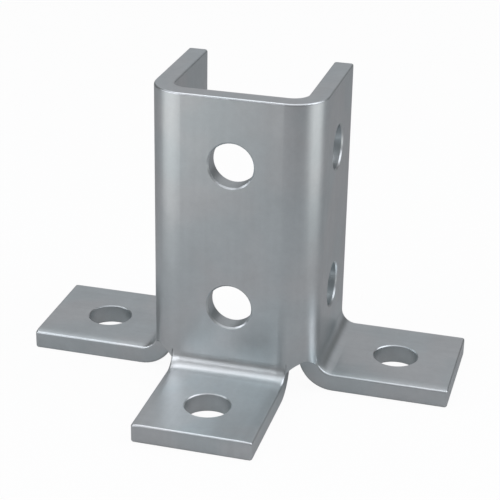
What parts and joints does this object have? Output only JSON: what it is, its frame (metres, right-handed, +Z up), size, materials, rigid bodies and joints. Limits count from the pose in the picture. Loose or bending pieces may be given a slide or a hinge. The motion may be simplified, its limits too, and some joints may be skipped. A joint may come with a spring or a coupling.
{
  "type": "support bracket",
  "caption": "Folded steel support bracket: a U-shaped upright that holds a strut channel, with flat feet folded outward from its front and sides for bolting down.",
  "frame": {"origin": "middle of the footprint's bounding rectangle, on the underside of the feet", "axes": "+Z up the upright, +X to the right towards one side foot, -Y towards the front foot, so the U opens to +Y"},
  "size_m": [0.1396, 0.0864, 0.0984],
  "materials": {
    "zinc_plated_steel": "satin electroplated zinc, faintly mottled"
  },
  "bodies": {
    "root": {"support_bracket": "zinc_plated_steel"}
  },
  "joints": []
}
